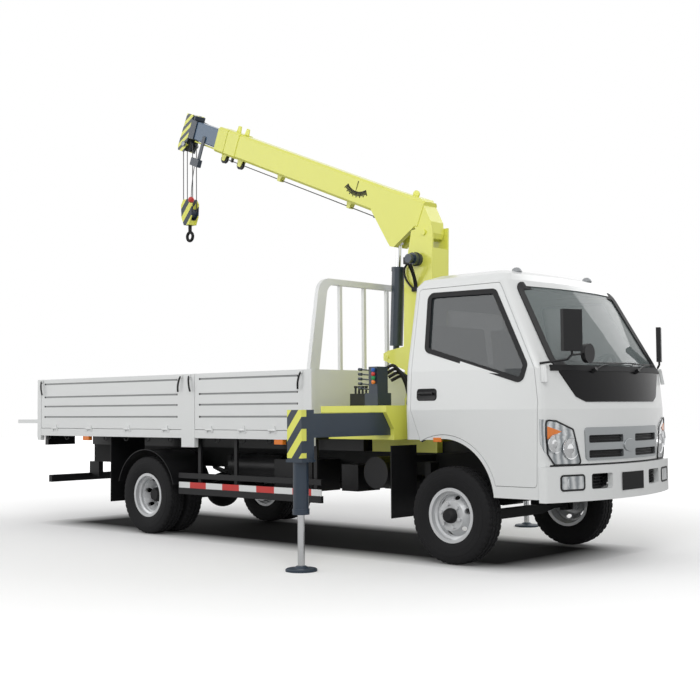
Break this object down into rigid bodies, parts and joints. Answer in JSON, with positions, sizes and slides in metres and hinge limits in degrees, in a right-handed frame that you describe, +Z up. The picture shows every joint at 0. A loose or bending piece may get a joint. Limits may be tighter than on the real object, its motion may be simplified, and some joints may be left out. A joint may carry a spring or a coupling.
{
  "type": "truck-mounted loader crane",
  "caption": "Light cab-over truck with a drop-side bed, a slewing column, a luffing telescopic boom with hook block and extending outriggers.",
  "frame": {"origin": "on the ground under the middle of the truck's outline", "axes": "+X forward out of the cab, +Y to the truck's left, +Z up"},
  "size_m": [7.4122, 4.166, 4.627],
  "materials": {
    "white_paint": "satin",
    "chassis_black": "satin",
    "engine_iron": "matte",
    "crane_yellow": "gloss",
    "crane_slate": "satin",
    "boom_blue": "satin",
    "chrome_rod": "polished",
    "tyre": "matte",
    "wheel_silver": "satin",
    "glass": "gloss",
    "black_plastic": "matte",
    "grille_silver": "satin",
    "lamp_lens": "gloss",
    "seat_fabric": "matte",
    "galvanised": "satin",
    "rope_steel": "satin"
  },
  "bodies": {
    "chassis": {"chassis_frame": "chassis_black", "cab_shell": "white_paint", "cab_glass": "glass", "front_panel": "black_plastic", "grille": "grille_silver", "headlamps": "lamp_lens", "bumper": "white_paint", "small_lamps": "lamp_lens", "mirrors": "black_plastic", "dashboard": "black_plastic", "seats": "seat_fabric", "engine_block": "engine_iron", "driveline": "chassis_black", "exhaust": "galvanised", "front_axle": "chassis_black", "rear_axle": "chassis_black", "side_tanks": "chassis_black", "guard_rails": "galvanised", "mudguards": "black_plastic", "bed_floor": "white_paint", "bed_posts": "white_paint", "headboard": "white_paint", "hoop_guard": "white_paint", "crane_base": "crane_yellow", "control_station": "crane_slate"},
    "left_door": {"door_left": "white_paint", "door_glass_left": "glass"},
    "right_door": {"door_right": "white_paint", "door_glass_right": "glass"},
    "left_knuckle": {"knuckle_left": "chassis_black"},
    "right_knuckle": {"knuckle_right": "chassis_black"},
    "left_front_wheel": {"front_tyre_left": "tyre", "front_rim_left": "wheel_silver"},
    "right_front_wheel": {"front_tyre_right": "tyre", "front_rim_right": "wheel_silver"},
    "left_rear_wheels": {"rear_tyres_left": "tyre", "rear_rims_left": "wheel_silver"},
    "right_rear_wheels": {"rear_tyres_right": "tyre", "rear_rims_right": "wheel_silver"},
    "left_front_side": {"dropside_front_left": "white_paint"},
    "left_rear_side": {"dropside_rear_left": "white_paint"},
    "right_front_side": {"dropside_front_right": "white_paint"},
    "right_rear_side": {"dropside_rear_right": "white_paint"},
    "tailgate": {"tailgate": "white_paint"},
    "left_beam": {"outrigger_beam_left": "crane_slate"},
    "right_beam": {"outrigger_beam_right": "crane_slate"},
    "left_jack": {"jack_leg_left": "chrome_rod"},
    "right_jack": {"jack_leg_right": "chrome_rod"},
    "column": {"column": "crane_yellow", "winch": "crane_slate"},
    "boom": {"boom_base": "crane_yellow", "boom_rope": "rope_steel"},
    "boom_middle": {"boom_mid": "boom_blue"},
    "boom_tip": {"boom_inner": "boom_blue"},
    "luff_barrel": {"luff_barrel": "crane_slate"},
    "luff_rod": {"luff_rod": "chrome_rod"},
    "hook": {"hoist_ropes": "rope_steel", "hook_block": "crane_slate", "hook": "chassis_black"}
  },
  "joints": [
    {"name": "left_steer", "type": "hinge", "parent": "chassis", "child": "left_knuckle", "pos_m": [2.58615, 0.745, 0.396], "axis": [0, 0, 1], "range_deg": [-35, 35]},
    {"name": "left_front_spin", "type": "hinge", "parent": "left_knuckle", "child": "left_front_wheel", "pos_m": [2.58615, 0.87, 0.396], "axis": [0, 1, 0], "continuous": true},
    {"name": "left_rear_spin", "type": "hinge", "parent": "chassis", "child": "left_rear_wheels", "pos_m": [-1.26385, 0.825, 0.396], "axis": [0, 1, 0], "continuous": true},
    {"name": "left_door", "type": "hinge", "parent": "chassis", "child": "left_door", "pos_m": [3.45415, 0.988, 1.4], "axis": [0, 0, -1], "range_deg": [0, 65]},
    {"name": "left_front_side_hinge", "type": "hinge", "parent": "chassis", "child": "left_front_side", "pos_m": [0.28615, 1.092, 1.072], "axis": [-1, 0, 0], "range_deg": [0, 178]},
    {"name": "left_rear_side_hinge", "type": "hinge", "parent": "chassis", "child": "left_rear_side", "pos_m": [-1.91385, 1.092, 1.072], "axis": [-1, 0, 0], "range_deg": [0, 178]},
    {"name": "left_beam_slide", "type": "slide", "parent": "chassis", "child": "left_beam", "axis": [0, -1, 0], "range_m": [0, 0.78]},
    {"name": "left_jack_slide", "type": "slide", "parent": "left_beam", "child": "left_jack", "axis": [0, 0, 1], "range_m": [0, 0.39]},
    {"name": "right_steer", "type": "hinge", "parent": "chassis", "child": "right_knuckle", "pos_m": [2.58615, -0.745, 0.396], "axis": [0, 0, 1], "range_deg": [-35, 35]},
    {"name": "right_front_spin", "type": "hinge", "parent": "right_knuckle", "child": "right_front_wheel", "pos_m": [2.58615, -0.87, 0.396], "axis": [0, 1, 0], "continuous": true},
    {"name": "right_rear_spin", "type": "hinge", "parent": "chassis", "child": "right_rear_wheels", "pos_m": [-1.26385, -0.825, 0.396], "axis": [0, 1, 0], "continuous": true},
    {"name": "right_door", "type": "hinge", "parent": "chassis", "child": "right_door", "pos_m": [3.45415, -0.988, 1.4], "axis": [0, 0, 1], "range_deg": [0, 65]},
    {"name": "right_front_side_hinge", "type": "hinge", "parent": "chassis", "child": "right_front_side", "pos_m": [0.28615, -1.092, 1.072], "axis": [1, 0, 0], "range_deg": [0, 178]},
    {"name": "right_rear_side_hinge", "type": "hinge", "parent": "chassis", "child": "right_rear_side", "pos_m": [-1.91385, -1.092, 1.072], "axis": [1, 0, 0], "range_deg": [0, 178]},
    {"name": "right_beam_slide", "type": "slide", "parent": "chassis", "child": "right_beam", "axis": [0, 1, 0], "range_m": [0, 0.78]},
    {"name": "right_jack_slide", "type": "slide", "parent": "right_beam", "child": "right_jack", "axis": [0, 0, 1], "range_m": [0, 0.39]},
    {"name": "tailgate_hinge", "type": "hinge", "parent": "chassis", "child": "tailgate", "pos_m": [-3.22085, 0, 1.112], "axis": [0, 1, 0], "range_deg": [0, 90]},
    {"name": "slew", "type": "hinge", "parent": "chassis", "child": "column", "pos_m": [1.62615, 0, 1.38], "axis": [0, 0, 1], "continuous": true},
    {"name": "luff", "type": "hinge", "parent": "column", "child": "boom", "pos_m": [1.68215, 0, 2.887], "axis": [0, 1, 0], "range_deg": [-22.5, 55.5]},
    {"name": "middle_extend", "type": "slide", "parent": "boom", "child": "boom_middle", "axis": [-0.9239, 0, 0.3827], "range_m": [0, 2.1]},
    {"name": "tip_extend", "type": "slide", "parent": "boom_middle", "child": "boom_tip", "axis": [-0.9239, 0, 0.3827], "range_m": [0, 2.1]},
    {"name": "luff_barrel_swing", "type": "hinge", "parent": "column", "child": "luff_barrel", "pos_m": [1.22615, 0, 1.75], "axis": [0, 1, 0], "range_deg": [-2, 4]},
    {"name": "luff_rod_slide", "type": "slide", "parent": "luff_barrel", "child": "luff_rod", "axis": [0.0496, 0, 0.9988], "range_m": [-0.155, 0.375]},
    {"name": "hook_swing", "type": "hinge", "parent": "boom_tip", "child": "hook", "pos_m": [-1.81462, 0, 4.28346], "axis": [0, 1, 0], "range_deg": [-55.5, 22.5]}
  ],
  "couplings": [
    {"joint": "right_steer", "follows": "left_steer", "ratio": 1},
    {"joint": "tip_extend", "follows": "middle_extend", "ratio": 1},
    {"joint": "luff_barrel_swing", "follows": "luff", "ratio": 0.05},
    {"joint": "luff_rod_slide", "follows": "luff", "m_per_rad": 0.38},
    {"joint": "hook_swing", "follows": "luff", "ratio": -1}
  ]
}
